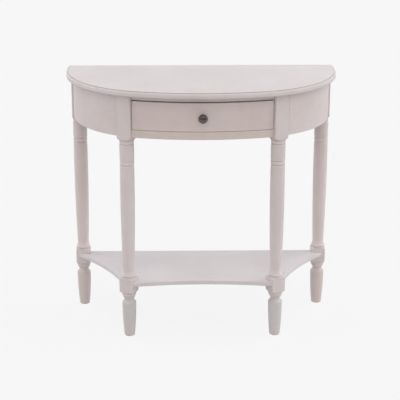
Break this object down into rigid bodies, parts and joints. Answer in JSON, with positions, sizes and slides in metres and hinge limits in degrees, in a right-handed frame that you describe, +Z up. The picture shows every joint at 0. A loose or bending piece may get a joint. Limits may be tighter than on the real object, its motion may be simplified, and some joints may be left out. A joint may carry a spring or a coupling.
{
  "type": "demilune table",
  "caption": "Half-moon console table with a moulded top, curved aprons, turned legs with square blocks, a bow-front drawer with a dark knob, and a hollow-edged lower shelf.",
  "frame": {"origin": "on the floor, under the middle of the top's overall width and depth", "axes": "+X to the right along the straight back edge, +Y from the bowed front to the straight back, +Z up"},
  "size_m": [0.8, 0.35, 0.76],
  "materials": {
    "painted_wood": "satin paint in a warm pale greige, slightly mottled",
    "bare_wood": "plain sanded pine",
    "screw_steel": "zinc-plated",
    "dark_metal": "dark gunmetal with a polished shine"
  },
  "bodies": {
    "frame": {"top": "painted_wood", "front_left_leg": "painted_wood", "front_right_leg": "painted_wood", "back_left_leg": "painted_wood", "back_right_leg": "painted_wood", "left_apron": "painted_wood", "right_apron": "painted_wood", "back_apron": "painted_wood", "upper_front_rail": "painted_wood", "lower_front_rail": "painted_wood", "shelf": "painted_wood", "left_runner": "bare_wood", "right_runner": "bare_wood", "drawer_stops": "bare_wood", "back_cleat": "bare_wood", "left_top_block": "bare_wood", "right_top_block": "bare_wood", "apron_dowels": "bare_wood", "rail_dowels": "bare_wood", "shelf_dowels": "bare_wood", "runner_dowels": "bare_wood", "top_screws": "screw_steel"},
    "drawer": {"drawer_front": "painted_wood", "drawer_left_side": "bare_wood", "drawer_right_side": "bare_wood", "drawer_back": "bare_wood", "drawer_bottom": "bare_wood", "drawer_dowels": "bare_wood", "drawer_knob": "dark_metal", "knob_screw": "screw_steel"}
  },
  "joints": [
    {"name": "drawer_slide", "type": "slide", "parent": "frame", "child": "drawer", "axis": [0, -1, 0], "range_m": [0, 0.18]}
  ]
}
